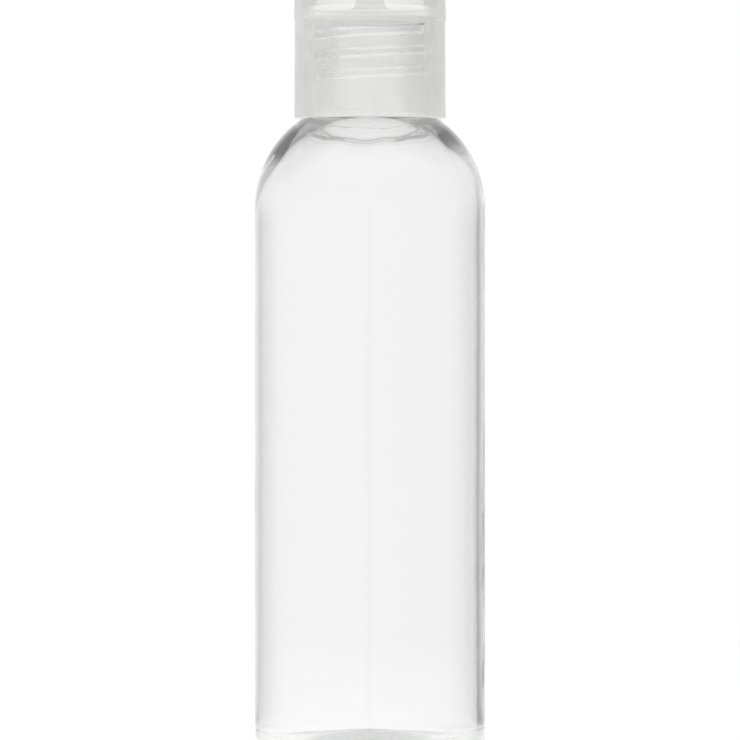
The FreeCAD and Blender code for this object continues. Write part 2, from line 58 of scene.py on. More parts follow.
# What the frame gives.
BOTTLE_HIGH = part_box("bottle")[1]
WASHER_LOW, WASHER_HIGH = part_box("sealing_washer")
CAP_LOW, CAP_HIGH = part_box("cap_shell")
PIVOT = next(joint["pos_m"][2] for joint in frame["joints"] if joint["name"] == "disc_tilt")

# The bottle's own sizes.
WALL_RADIUS = BOTTLE_HIGH.x
MOUTH = BOTTLE_HIGH.z
WALL = 0.6 * MM
SHOULDER_START = 85.1 * MM
SHOULDER_ROUND = 16.6 * MM
SHOULDER_THICKENING = 1.0 * MM
HEEL_ROUND = 4.0 * MM
HEEL_THICKENING = 1.6 * MM
FOOT_WIDTH = 1.0 * MM
PUSH_UP = 3.3 * MM
BASE_THICKNESS = 1.5 * MM
GATE_RADIUS = 1.3 * MM
GATE_HEIGHT = 0.5 * MM
GATE_ROUND = 0.2 * MM
NECK_RADIUS = 8.8 * MM
NECK_BORE = 7.4 * MM
BEAD_RADIUS = 9.85 * MM
BEAD_THICKNESS = 1.3 * MM
LIP_ROUND = 0.35 * MM

# How the blown wall departs from a true round on its inside: it is thinner at the shoulder, shifted to
# one side below it, and wavy. The waves are a noise, with its scale low down and at the shoulder.
SHOULDER_THINNING = 0.3 * MM
WALL_SHIFT = 0.4 * MM
WALL_WAVES = 0.06 * MM
SHOULDER_WAVES = 0.12 * MM
UNEVEN_FADE = 8.0 * MM
WAVE_SCALE = 0.9
SHOULDER_WAVE_SCALE = 4.0
WAVES_PER_METRE = 60.0

# The washer's sizes.
WASHER_HOLE = 4.0 * MM
WASHER_ROUND = 0.15 * MM

# The thread that the neck and the cap share. Each ridge starts at its lower end, below the mouth.
PITCH = 3.175 * MM
THREAD_DEPTH = 1.05 * MM
THREAD_CLEARANCE = 0.25 * MM
RUN_OUT = 35.0
NECK_RIDGE = {
    "start": MOUTH - 6.8625 * MM,
    "azimuth": 207.0,
    "turns": 1.5,
    "root": 2.0 * MM,
    "crest": 0.9 * MM,
}
CAP_RIDGE = {
    "start": MOUTH - 8.336 * MM,
    "azimuth": 210.0,
    "turns": 2.3333,
    "root": 1.6 * MM,
    "crest": 0.7 * MM,
}
CAP_FLANKS = dict(CAP_RIDGE, root=1.95 * MM, crest=0.35 * MM)

# The cap's own sizes.
CAP_FOOT = CAP_LOW.z
RIM = CAP_HIGH.z
CROWN_RADIUS = CAP_HIGH.x
CROWN_WALL = 1.4 * MM
CROWN_DRAFT = 0.2 * MM
CHAMBER_RADIUS = CROWN_RADIUS - CROWN_WALL
CAP_BORE = NECK_RADIUS + THREAD_DEPTH + THREAD_CLEARANCE
LEAD_IN = 0.8 * MM
SKIRT_WALL = 1.55 * MM
SKIRT_DRAFT = 0.09 * MM
DECK_UNDER = WASHER_HIGH.z
DECK_TOP = DECK_UNDER + 1.1 * MM
PARTING_HEIGHT = DECK_UNDER - 0.6 * MM
STEM_RADIUS = 2.2 * MM
FLARE = 1.3 * MM
BALL_RADIUS = 2.45 * MM
WELL_RADIUS = 1.3 * MM
WELL_TOP = PIVOT + 0.6 * MM
ORIFICE_RADIUS = 0.75 * MM
DIMPLE_RADIUS = 0.88 * MM
DIMPLE_REACH = 10.75 * MM
STOP_ANGLES = (218.0, 322.0)
STOP_WIDTH = 2.0 * MM
STOP_DEPTH = 0.7 * MM
STOP_TOP = PIVOT + 0.7 * MM
STOP_FOOT = STOP_TOP - 1.1 * MM

# The cap's rounds, from its foot up, over the rim and down again.
FOOT_ROUND = 0.4 * MM
STEP_ROUNDS = (0.04 * MM, 0.05 * MM)
CROWN_ROUND = 0.6 * MM
RIM_ROUND = 0.25 * MM
DECK_ROUND = 0.5 * MM
WELL_ROUND = 0.1 * MM
BORE_ROUND = 0.2 * MM

# How far apart the rows of the turned meshes lie: closer where the form turns or bears a thread.
BOTTLE_STEPS = {
    "gate": 0.2 * MM,
    "dome": 0.8 * MM,
    "foot": 0.4 * MM,
    "heel": 0.3 * MM,
    "wall": 2.4 * MM,
    "shoulder": 0.45 * MM,
    "neck": 0.12 * MM,
    "bore": 0.6 * MM,
    "inner_shoulder": 0.4 * MM,
    "inner_dome": 0.6 * MM,
}
CAP_STEPS = {
    "wall": 0.4 * MM,
    "thread": 0.09 * MM,
    "nozzle": 0.15 * MM,
    "stem": 0.3 * MM,
    "lead_in": 0.3 * MM,
}
WASHER_STEP = 0.5 * MM

# The clear wall lets a share of the light go straight on at its heel, at its throat and at the two edges
# of its shoulder, where nested walls would otherwise end black. The mesh's marks give the places, and
# marks that differ by less than a step count as the same.
CLEAR_SHARE = 0.65
HEEL_TOP = 5.2 * MM
HEEL_FADE = 1.2 * MM
HEEL_RADII = (10.5 * MM, 12.5 * MM)
THROAT_CLEAR = 0.25
THROAT_LOW = 96.8 * MM
THROAT_FADE = 1.2 * MM
SHOULDER_CLEAR = 0.42
SHOULDER_CLEAR_FOOT = (SHOULDER_START - 2.0 * MM, SHOULDER_START + 2.0 * MM)
SHOULDER_CLEAR_TOP = 94.5 * MM
SHOULDER_CLEAR_LEAN = 1.3 * MM
SHOULDER_CLEAR_FADE = 3.0 * MM
SHOULDER_EDGE = (0.7, 0.95)
MARK_STEP = 0.01

# The clear plastic.
POLYESTER_IOR = 1.575
POLYESTER_DEPTH = 25.0
POLYESTER_COLOUR = (0.2, 0.22, 0.21)
RIPPLE_SCALE = 120.0
RIPPLE_HEIGHT = 0.04 * MM
RIPPLE_DETAIL = 2.0
PARTING_WIDTH = 0.3 * MM
PARTING_TINT = 0.975
COVERED = 0.8
MOST_REFLECTIONS = 2.5

# The milky plastic: how much of the light each surface scatters, as a share. A slant is (low, high,
# growth): how far aslant the milk starts to grow, where that ends, and by how much it has grown there.
OUTER_MILK = 0.2
RIM_MILK = 0.5
RIM_MILK_RISE = (RIM - 1.0 * MM, RIM - 0.4 * MM)
BORE_MILK = 0.44
LOW_BORE_MILK = 0.33
BORE_MILK_RISE = (107.0 * MM, 110.0 * MM)
CHAMBER_MILK = 0.16
STEM_MILK = 0.28
DECK_MILK = 0.12
DISC_MILK = 0.42
FAR_MILK = 0.05
FLANK_CLEARNESS = 6.0
MOST_MILK = 0.95
OUTER_SLANT = (0.25, 0.45, 3.0)
INNER_SLANT = (0.03, 0.28, 1.2)
HIDING_SLANT = (0.25, 0.5)
LEVEL = (0.4, 0.8)

# The milky plastic's tint, its depth and its satin gloss.
CLOUD_SCALE = 260.0
CLOUD_DETAIL = 3.0
CAP_CLOUDS = [(0.35, (0.79, 0.79, 0.772)), (0.65, (0.83, 0.83, 0.818))]
CAP_DEPTH = 12.0
CAP_ROUGHNESS = 0.25
CAP_GLOSS = 0.04
CAP_EDGE_GLOSS = 0.25
CAP_EDGE_POWER = 4.0
CAP_GRAIN_SCALE = 1500.0
CAP_GRAIN_HEIGHT = 0.01 * MM

# The washer's foam.
FOAM_COLOUR = (0.8, 0.8, 0.77)
FOAM_ROUGHNESS = 0.7
FOAM_SCALE = 9000.0
FOAM_HEIGHT = 0.02 * MM

# The light, as (place, brightness). The first two go from straight down at 0 to straight up at 1, and
# the third goes from back along -Y at 0 to ahead along +Y at 1.
STUDIO_LIGHT = [(0.5, 0.55), (0.75, 0.8), (1.0, 1.3)]
THROUGH_LIGHT = [(0.0, 0.55), (0.2, 0.8), (0.3, 1.0), (0.7, 1.0), (0.8, 0.5), (0.9, 0.5), (0.97, 1.3)]
AHEAD_LIGHT = [(0.0, 0.6), (0.6, 0.6), (0.75, 0.46), (0.9, 0.46), (0.97, 0.95)]
REFLECTION_FALL = 0.3
LEAST_REFLECTION = 0.4
LAMPS = {
    "key": {"place": (-0.45, -0.55, 0.75), "power": 2.4},
    "fill": {"place": (0.6, -0.35, 0.45), "power": 0.4},
}
LAMP_SIZE = 0.5
LAMP_AIM = (0.0, 0.0, 0.06)

# The floor.
FLOOR_REACH = 40.0
FLOOR_WHITE = 0.35
FAR_FLOOR_LIGHT = 0.55
FLOOR_FADE = (0.25, 0.6)
FOOT_GLOW = (0.03, 0.09)

# The camera. The picture's width is taken at the bottle's axis.
CAMERA_DISTANCE = 1.18
CAMERA_HEIGHT = 60.15 * MM
PICTURE_WIDTH = 113.85 * MM
SENSOR_WIDTH = 36.0


def line(start, end, step):
    """Points from start up to, but not at, end, about a step apart."""
    count = max(1, round(math.dist(start, end) / step))
    return [tuple(a + (b - a) * n / count for a, b in zip(start, end)) for n in range(count)]


def arc(centre, radius, first, last, step):
    """Points of an arc from one angle to another, in degrees, without its last point."""
    count = max(2, round(abs(math.radians(last - first)) * radius / step))
    angles = [math.radians(first + (last - first) * n / count) for n in range(count)]
    return [(centre[0] + radius * math.cos(a), centre[1] + radius * math.sin(a)) for a in angles]


def rounded(corners, step, steps_round=5):
    """An open outline through (r, z, round) corners, joined by straight lines, with its corners rounded."""
    points = []
    for number, (r, z, radius) in enumerate(corners):
        new = [(r, z)]
        if radius:
            back = math.atan2(corners[number - 1][1] - z, corners[number - 1][0] - r)
            ahead = math.atan2(corners[number + 1][1] - z, corners[number + 1][0] - r)
            opening = (ahead - back + math.pi) % TURN - math.pi
            middle, half = back + opening / 2, abs(opening) / 2
            reach = radius / math.sin(half)
            centre = (r + reach * math.cos(middle), z + reach * math.sin(middle))
            sweep = math.copysign(math.pi - abs(opening), -opening)
            first = middle + math.pi - sweep / 2
            angles = [first + sweep * n / steps_round for n in range(steps_round + 1)]
            new = [(centre[0] + radius * math.cos(a), centre[1] + radius * math.sin(a)) for a in angles]
        if points:
            points += line(points[-1], new[0], step)[1:]
        points += new
    return points


def dome_radius(foot, height):
    """The radius of the sphere that a dome belongs to, from the radius of its foot and its height."""
    return (foot ** 2 + height ** 2) / (2 * height)


def soft_step(value, low, high):
    """0 at low and 1 at high, with a soft start and end. Low may be the larger of the two."""
    share = min(max((value - low) / (high - low), 0.0), 1.0)
    return share * share * (3 - 2 * share)


def lathe(name, outline, relief=None, closed=False, marks=None):
    """A mesh turned about Z from (r, z) points. Relief moves a point outwards by a function of its number
    in the outline, r, z and angle.

    Marks gives each point a number from the same arguments, for the material to read.
    """
    vertices, rows, values = [], [], []
    for number, (r, z) in enumerate(outline):
        if r < 1e-9:
            rows.append([len(vertices)])
            vertices.append((0.0, 0.0, z))
            values.append(0.0)
            continue
        rows.append(range(len(vertices), len(vertices) + SEGMENTS))
        for n in range(SEGMENTS):
            angle = TURN * n / SEGMENTS
            out = r + (relief(number, r, z, angle) if relief else 0.0)
            vertices.append((out * math.cos(angle), out * math.sin(angle), z))
            values.append(marks(number, r, z, angle) if marks else 0.0)
    faces = []
    pairs = list(zip(rows, rows[1:])) + ([(rows[-1], rows[0])] if closed else [])
    for low, high in pairs:
        for n in range(SEGMENTS):
            m = (n + 1) % SEGMENTS
            if len(low) == 1:
                faces.append((low[0], high[m], high[n]))
            elif len(high) == 1:
                faces.append((low[n], low[m], high[0]))
            else:
                faces.append((low[n], low[m], high[m], high[n]))
    mesh = bpy.data.meshes.new(name)
    mesh.from_pydata(vertices, [], faces)
    mesh.shade_smooth()
    mesh.attributes.new("mark", "FLOAT", "POINT").data.foreach_set("value", values)
    piece = bpy.data.objects.new(name, mesh)
    bpy.context.scene.collection.objects.link(piece)
    return piece


def ridge_height(ridge, z, angle, radius):
    """How far the helical ridge stands out of its wall at a height and an angle."""
    behind = math.degrees(angle) - ridge["azimuth"]
    turn = (behind % 360.0) / 360.0
    height = 0.0
    while turn <= ridge["turns"]:
        away = abs(z - ridge["start"] - PITCH * turn)
        flank = (ridge["root"] / 2 - away) / ((ridge["root"] - ridge["crest"]) / 2)
        to_end = min(turn, ridge["turns"] - turn) * TURN * radius
        ramp = to_end * math.tan(math.radians(RUN_OUT)) / THREAD_DEPTH
        height = max(height, THREAD_DEPTH * soft_step(min(flank, ramp), 0.0, 1.0))
        turn += 1.0
    return height


def make_bottle():
    """The blown bottle as one closed wall, from its gate up the outside and down the inside."""
    step = BOTTLE_STEPS
    foot_outer = WALL_RADIUS - HEEL_ROUND
    foot_inner = foot_outer - FOOT_WIDTH
    dome = dome_radius(foot_inner, PUSH_UP)
    dome_angle = math.degrees(math.asin(foot_inner / dome))
    gate_angle = math.degrees(math.asin(GATE_RADIUS / dome))
    gate_foot = PUSH_UP - GATE_HEIGHT
    shoulder_centre = (WALL_RADIUS - SHOULDER_ROUND, SHOULDER_START)
    neck_angle = math.degrees(math.acos((BEAD_RADIUS - shoulder_centre[0]) / SHOULDER_ROUND))
    neck_foot = SHOULDER_START + SHOULDER_ROUND * math.sin(math.radians(neck_angle))
    bead_top = neck_foot + BEAD_THICKNESS
    inner_radius = WALL_RADIUS - WALL
    inner_round = SHOULDER_ROUND - SHOULDER_THICKENING
    inner_start = SHOULDER_START - SHOULDER_THICKENING
    inner_centre = (inner_radius - inner_round, inner_start)
    throat_angle = math.degrees(math.acos((NECK_BORE - inner_centre[0]) / inner_round))
    throat = inner_start + inner_round * math.sin(math.radians(throat_angle))
    bore_top = MOUTH - 2 * LIP_ROUND
    heel_inside = HEEL_ROUND + HEEL_THICKENING
    floor_top = PUSH_UP + BASE_THICKNESS
    floor_edge = WALL + HEEL_THICKENING
    inner_foot = foot_outer - FOOT_WIDTH / 2
    inner_dome = dome_radius(inner_foot, floor_top - floor_edge)
    inner_dome_angle = math.degrees(math.asin(inner_foot / inner_dome))

    gate = [(0.0, gate_foot, 0), (GATE_RADIUS, gate_foot, GATE_ROUND), (GATE_RADIUS, PUSH_UP, 0)]
    outline = rounded(gate, step["gate"])[:-1]
    outline += arc((0.0, PUSH_UP - dome), dome, 90 - gate_angle, 90 - dome_angle, step["dome"])
    outline += line((foot_inner, 0.0), (foot_outer, 0.0), step["foot"])
    outline += arc((foot_outer, HEEL_ROUND), HEEL_ROUND, -90, 0, step["heel"])
    outline += line((WALL_RADIUS, HEEL_ROUND), (WALL_RADIUS, SHOULDER_START), step["wall"])
    wall_end = len(outline)
    outline += arc(shoulder_centre, SHOULDER_ROUND, 0, neck_angle, step["shoulder"])
    neck = [
        (BEAD_RADIUS, neck_foot, 0),
        (BEAD_RADIUS, bead_top, LIP_ROUND),
        (NECK_RADIUS, bead_top, LIP_ROUND),
        (NECK_RADIUS, MOUTH, LIP_ROUND),
        (NECK_BORE, MOUTH, LIP_ROUND),
        (NECK_BORE, bore_top, 0),
    ]
    outline += rounded(neck, step["neck"])[:-1]
    outline += line((NECK_BORE, bore_top), (NECK_BORE, throat), step["bore"])
    inside = len(outline)
    outline += arc(inner_centre, inner_round, throat_angle, 0, step["inner_shoulder"])
    outline += line((inner_radius, inner_start), (inner_radius, heel_inside), step["wall"])
    outline += arc((foot_outer, heel_inside), HEEL_ROUND - WALL, 0, -90, step["heel"])
    outline += line((foot_outer, floor_edge), (inner_foot, floor_edge), step["heel"])
    inner_dome_centre = (0.0, floor_top - inner_dome)
    outline += arc(inner_dome_centre, inner_dome, 90 - inner_dome_angle, 90, step["inner_dome"])
    outline += [(0.0, floor_top)]

    def unevenness(r, z, angle):
        """How far the inside of the blown wall lies outside of its true round."""
        fade = soft_step(r, inner_radius / 2, inner_radius) * soft_step(z, throat, throat - UNEVEN_FADE)
        shoulder = soft_step(z, SHOULDER_START, SHOULDER_START + UNEVEN_FADE)
        place = Vector((math.cos(angle), math.sin(angle), z * WAVES_PER_METRE))
        waves = noise.noise(place * WAVE_SCALE) * WALL_WAVES
        waves += noise.noise(place * SHOULDER_WAVE_SCALE) * SHOULDER_WAVES * shoulder
        thin = SHOULDER_THINNING * shoulder - WALL_SHIFT * math.cos(angle) * (1.0 - shoulder)
        return fade * (thin - waves)

    def relief(number, r, z, angle):
        if abs(r - NECK_RADIUS) < CLOSE and z > bead_top:
            return ridge_height(NECK_RIDGE, z, angle, NECK_RADIUS)
        if number > inside:
            return unevenness(r, z, angle)
        return 0.0

    def marks(number, r, z, angle):
        """Above 0 where light goes straight on, and down to -1 on the mould's parting line, which runs
        down the front and the back.
        """
        if z < HEEL_TOP:
            return soft_step(r, *HEEL_RADII) * soft_step(z, HEEL_TOP, HEEL_TOP - HEEL_FADE)
        if THROAT_LOW < z <= bead_top:
            return THROAT_CLEAR * soft_step(z, THROAT_LOW, THROAT_LOW + THROAT_FADE)
        if z > SHOULDER_CLEAR_FOOT[0]:
            end = SHOULDER_CLEAR_TOP + SHOULDER_CLEAR_LEAN * math.cos(angle)
            height = soft_step(z, *SHOULDER_CLEAR_FOOT) * soft_step(z, end, end - SHOULDER_CLEAR_FADE)
            clear = SHOULDER_CLEAR * height * soft_step(abs(math.cos(angle)), *SHOULDER_EDGE)
            if clear > 0.0:
                return clear
        if number <= wall_end:
            return -soft_step(abs(r * math.cos(angle)), 2 * PARTING_WIDTH, PARTING_WIDTH)
        return 0.0

    piece = lathe("clear_bottle", outline, relief, marks=marks)
    piece.data.materials.append(clear_plastic())
    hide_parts("bottle")
    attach(piece, "bottle")


def make_washer():
    """The foamed washer under the deck."""
    edge, start = WASHER_HIGH.x, WASHER_HOLE + WASHER_ROUND
    corners = [
        (start, WASHER_LOW.z, 0),
        (edge, WASHER_LOW.z, WASHER_ROUND),
        (edge, WASHER_HIGH.z, WASHER_ROUND),
        (WASHER_HOLE, WASHER_HIGH.z, WASHER_ROUND),
        (WASHER_HOLE, WASHER_LOW.z, WASHER_ROUND),
        (start, WASHER_LOW.z, 0),
    ]
    piece = lathe("foam_washer", rounded(corners, WASHER_STEP)[:-1], closed=True)
    piece.data.materials.append(foam())
    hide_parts("sealing_washer")
    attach(piece, "washer")


def make_cap():
    """The cap's shell as one closed wall: up its outside, down the chamber, over the nozzle, down the well
    and the bore.
    """
    step = CAP_STEPS
    stop_edge = 0.02 * MM
    skirt_foot = CAP_BORE + SKIRT_WALL
    flare_edge = STEM_RADIUS + FLARE
    ball_foot = PIVOT - math.sqrt(BALL_RADIUS ** 2 - STEM_RADIUS ** 2)
    ball_first = -math.degrees(math.acos(STEM_RADIUS / BALL_RADIUS))
    ball_last = math.degrees(math.acos(ORIFICE_RADIUS / BALL_RADIUS))
    orifice_top = PIVOT + BALL_RADIUS * math.sin(math.radians(ball_last))

    skin = [
        (CAP_BORE + LEAD_IN, CAP_FOOT, 0),
        (skirt_foot, CAP_FOOT, FOOT_ROUND),
        (skirt_foot - SKIRT_DRAFT, PARTING_HEIGHT, STEP_ROUNDS[0]),
        (CROWN_RADIUS, PARTING_HEIGHT, STEP_ROUNDS[1]),
        (CROWN_RADIUS - CROWN_DRAFT, RIM, CROWN_ROUND),
        (CHAMBER_RADIUS, RIM, RIM_ROUND),
        (CHAMBER_RADIUS, PIVOT + DIMPLE_RADIUS, 0),
    ]
    outline = rounded(skin, step["wall"])[:-1]
    skin_end = next(number for number, (r, z) in enumerate(outline) if abs(r - CHAMBER_RADIUS) < CLOSE)
    chamber_heights = [
        PIVOT + DIMPLE_RADIUS,
        STOP_TOP,
        STOP_TOP - stop_edge,
        STOP_FOOT + stop_edge,
        STOP_FOOT,
        PIVOT - DIMPLE_RADIUS,
    ]
    for high, low in zip(chamber_heights, chamber_heights[1:]):
        outline += line((CHAMBER_RADIUS, high), (CHAMBER_RADIUS, low), step["thread"])
    deck = [
        (CHAMBER_RADIUS, PIVOT - DIMPLE_RADIUS, 0),
        (CHAMBER_RADIUS, DECK_TOP, DECK_ROUND),
        (flare_edge, DECK_TOP, 0),
    ]
    outline += rounded(deck, step["wall"])[:-1]
    outline += arc((flare_edge, DECK_TOP + FLARE), FLARE, -90, -180, step["nozzle"])
    outline += line((STEM_RADIUS, DECK_TOP + FLARE), (STEM_RADIUS, ball_foot), step["stem"])
    outline += arc((0.0, PIVOT), BALL_RADIUS, ball_first, ball_last, step["nozzle"])
    well = [
        (ORIFICE_RADIUS, orifice_top, 0),
        (ORIFICE_RADIUS, WELL_TOP, WELL_ROUND),
        (WELL_RADIUS, WELL_TOP, WELL_ROUND),
        (WELL_RADIUS, DECK_UNDER, WELL_ROUND),
        (CAP_BORE, DECK_UNDER, BORE_ROUND),
        (CAP_BORE, PARTING_HEIGHT, 0),
    ]
    outline += rounded(well, step["wall"])[:-1]
    outline += line((CAP_BORE, PARTING_HEIGHT), (CAP_BORE, CAP_FOOT + LEAD_IN), step["thread"])
    outline += line((CAP_BORE, CAP_FOOT + LEAD_IN), (CAP_BORE + LEAD_IN, CAP_FOOT), step["lead_in"])

    def on_bore(r, z):
        return abs(r - CAP_BORE) < CLOSE and z < PARTING_HEIGHT + step["thread"]

    def chamber_relief(z, angle):
        """Two round dimples for the disc's pins, and two stops that stand inwards."""
        away = math.hypot(CHAMBER_RADIUS * math.sin(angle), z - PIVOT)
        if away < DIMPLE_RADIUS:
            deep = DIMPLE_REACH - DIMPLE_RADIUS + math.sqrt(DIMPLE_RADIUS ** 2 - away ** 2)
            return max(0.0, deep - CHAMBER_RADIUS)
        if STOP_FOOT + stop_edge / 2 < z < STOP_TOP - stop_edge / 2:
            half_stop = math.degrees(STOP_WIDTH / 2 / CHAMBER_RADIUS)
            if any(abs(math.degrees(angle) - stop) < half_stop for stop in STOP_ANGLES):
                return -STOP_DEPTH
        return 0.0

    def relief(number, r, z, angle):
        if on_bore(r, z):
            return -ridge_height(CAP_RIDGE, z, angle, CAP_BORE)
        if abs(r - CHAMBER_RADIUS) < CLOSE:
            return chamber_relief(z, angle)
        return 0.0

    def marks(number, r, z, angle):
        """How milky a point is: positive on the skin, the deck and the nozzle, and negative on a wall that
        faces the axis. The flanks of the thread are clear.
        """
        if number < skin_end:
            return OUTER_MILK + (RIM_MILK - OUTER_MILK) * soft_step(z, *RIM_MILK_RISE)
        if on_bore(r, z):
            share = ridge_height(CAP_FLANKS, z, angle, CAP_BORE) / THREAD_DEPTH
            flank = min(1.0, FLANK_CLEARNESS * share * (1.0 - share))
            milk = LOW_BORE_MILK + (BORE_MILK - LOW_BORE_MILK) * soft_step(z, *BORE_MILK_RISE)
            return -milk * (1.0 - flank)
        if abs(r - CHAMBER_RADIUS) < CLOSE:
            return -CHAMBER_MILK
        if r < WELL_RADIUS + WELL_ROUND:
            return 0.0
        return STEM_MILK if r < flare_edge and z > DECK_TOP else DECK_MILK

    piece = lathe("cap_wall", outline, relief, closed=True, marks=marks)
    piece.data.materials.append(cap_plastic())
    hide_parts("cap_shell")
    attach(piece, "cap")


def dress_disc():
    """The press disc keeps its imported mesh, in the cap's plastic."""
    disc = frame["nodes"]["press_disc"]
    disc.data.materials.clear()
    disc.data.materials.append(cap_plastic(DISC_MILK))


def new_material(name):
    """A node material, its emptied tree, and the tree's output."""
    material = bpy.data.materials.new(name)
    material.use_nodes = True
    tree = material.node_tree
    tree.nodes.clear()
    output = tree.nodes.new("ShaderNodeOutputMaterial")
    return material, tree, output


def add_node(tree, kind, **inputs):
    """A node with constants set on its own inputs, where _ stands for a space in an input's name."""
    node = tree.nodes.new(kind)
    for name, value in inputs.items():
        node.inputs[name.replace("_", " ")].default_value = value
    return node


def math_node(tree, operation, first, second=None):
    """A math node on two sockets or numbers."""
    node = tree.nodes.new("ShaderNodeMath")
    node.operation = operation
    for number, source in enumerate((first, second)):
        if isinstance(source, (int, float)):
            node.inputs[number].default_value = source
        elif source is not None:
            tree.links.new(source, node.inputs[number])
    return node.outputs[0]


def times(tree, first, second):
    return math_node(tree, "MULTIPLY", first, second)


def plus(tree, first, second):
    return math_node(tree, "ADD", first, second)


def larger(tree, first, second):
    return math_node(tree, "MAXIMUM", first, second)


def one_less(tree, source):
    return math_node(tree, "SUBTRACT", 1.0, source)


def vector_node(tree, operation, source):
    """A vector math node on one socket."""
    node = tree.nodes.new("ShaderNodeVectorMath")
    node.operation = operation
    tree.links.new(source, node.inputs[0])
    return node


def axis_of(tree, source, axis):
    """One coordinate of a vector."""
    node = tree.nodes.new("ShaderNodeSeparateXYZ")
    tree.links.new(source, node.inputs[0])
    return node.outputs[axis]


def ramp_node(tree, source, points):
    """A colour ramp from (place, colour) points, where a colour may be one grey number."""
    node = tree.nodes.new("ShaderNodeValToRGB")
    node.color_ramp.interpolation = "EASE"
    stops = node.color_ramp.elements
    while len(stops) < len(points):
        stops.new(0.5)
    for stop, (place, colour) in zip(stops, points):
        if isinstance(colour, float):
            colour = (colour, colour, colour)
        stop.position = place
        stop.color = (*colour, 1.0)
    tree.links.new(source, node.inputs[0])
    return node.outputs[0]


def smooth_range(tree, source, low, high):
    """A soft step from 0 at low to 1 at high."""
    node = tree.nodes.new("ShaderNodeMapRange")
    node.interpolation_type = "SMOOTHSTEP"
    node.inputs["From Min"].default_value = low
    node.inputs["From Max"].default_value = high
    tree.links.new(source, node.inputs["Value"])
    return node.outputs[0]


def noise_node(tree, scale, detail):
    """A noise that is fixed to the piece."""
    place = tree.nodes.new("ShaderNodeTexCoord")
    node = add_node(tree, "ShaderNodeTexNoise", Scale=scale, Detail=detail)
    tree.links.new(place.outputs["Object"], node.inputs["Vector"])
    return node.outputs["Fac"]


def ripples(tree, scale, height):
    """A normal that waves as if the surface rose and fell by about that height."""
    bump = add_node(tree, "ShaderNodeBump", Strength=1.0, Distance=height)
    tree.links.new(noise_node(tree, scale, RIPPLE_DETAIL), bump.inputs["Height"])
    return bump.outputs["Normal"]


def outward(tree):
    """The direction straight away from the piece's axis."""
    place = tree.nodes.new("ShaderNodeTexCoord")
    flat = vector_node(tree, "MULTIPLY", place.outputs["Object"])
    flat.inputs[1].default_value = (1.0, 1.0, 0.0)
    turn = tree.nodes.new("ShaderNodeVectorTransform")
    turn.vector_type = "VECTOR"
    turn.convert_from, turn.convert_to = "OBJECT", "WORLD"
    tree.links.new(flat.outputs[0], turn.inputs[0])
    return vector_node(tree, "NORMALIZE", turn.outputs[0]).outputs[0]


def mix_shaders(tree, factor, first, second):
    """A mix of two shaders, by a number or a socket."""
    mix = tree.nodes.new("ShaderNodeMixShader")
    if isinstance(factor, (int, float)):
        mix.inputs[0].default_value = factor
    else:
        tree.links.new(factor, mix.inputs[0])
    tree.links.new(first, mix.inputs[1])
    tree.links.new(second, mix.inputs[2])
    return mix.outputs[0]


def seen_through(tree):
    """The light path, and whether a ray came through the plastic with no reflection on the way."""
    path = tree.nodes.new("ShaderNodeLightPath")
    straight = math_node(tree, "LESS_THAN", path.outputs["Glossy Depth"], 0.5)
    return path, times(tree, path.outputs["Is Transmission Ray"], straight)


def reflected_share(tree, path):
    """How bright the studio is in a reflection: less with each reflection on the way."""
    fall = times(tree, path.outputs["Glossy Depth"], -REFLECTION_FALL)
    return larger(tree, plus(tree, fall, 1 + REFLECTION_FALL), LEAST_REFLECTION)


def zero_to_one(tree, source):
    """A direction's coordinate, from -1 to 1, brought to 0 to 1."""
    return plus(tree, times(tree, source, 0.5), 0.5)


def add_depth(tree, output, density, colour):
    """A plastic that darkens with the length of the light's way in it."""
    haze = add_node(tree, "ShaderNodeVolumeAbsorption", Density=density, Color=(*colour, 1.0))
    tree.links.new(haze.outputs["Volume"], output.inputs["Volume"])


def clear_plastic():
    """Clear polyester, with the mould's parting line as a faint tint.

    Rays that were reflected many times inside it go straight on, instead of ending black, and so does a
    share of the rays where the mesh is marked. A ray that went straight through one face of a marked wall
    goes straight through the next too. Most rays that come through the milky cap aren't bent, which washes
    out what lies behind it.
    """
    material, tree, output = new_material("clear_polyester")
    mark = tree.nodes.new("ShaderNodeAttribute")
    mark.attribute_name = "mark"
    parting = larger(tree, times(tree, mark.outputs["Fac"], -1.0), 0.0)
    clear_mark = larger(tree, mark.outputs["Fac"], 0.0)
    shader = add_node(
        tree, "ShaderNodeBsdfPrincipled", Roughness=0.0, IOR=POLYESTER_IOR, Transmission_Weight=1.0
    )
    tint = ramp_node(tree, parting, [(0.0, 1.0), (1.0, PARTING_TINT)])
    tree.links.new(tint, shader.inputs["Base Color"])
    tree.links.new(ripples(tree, RIPPLE_SCALE, RIPPLE_HEIGHT), shader.inputs["Normal"])
    unbent = add_node(tree, "ShaderNodeBsdfRefraction", IOR=1.0, Roughness=0.0)
    straight = add_node(tree, "ShaderNodeBsdfTransparent")
    path = tree.nodes.new("ShaderNodeLightPath")
    passed = math_node(tree, "GREATER_THAN", path.outputs["Transparent Depth"], 0.5)
    marked = math_node(tree, "GREATER_THAN", clear_mark, MARK_STEP)
    deep = math_node(tree, "GREATER_THAN", path.outputs["Glossy Depth"], MOST_REFLECTIONS)
    clear = larger(tree, times(tree, clear_mark, CLEAR_SHARE), times(tree, passed, marked))
    clear = larger(tree, clear, deep)
    surface = mix_shaders(tree, times(tree, passed, COVERED), shader.outputs[0], unbent.outputs[0])
    surface = mix_shaders(tree, clear, surface, straight.outputs[0])
    tree.links.new(surface, output.inputs["Surface"])
    add_depth(tree, output, POLYESTER_DEPTH, POLYESTER_COLOUR)
    return material


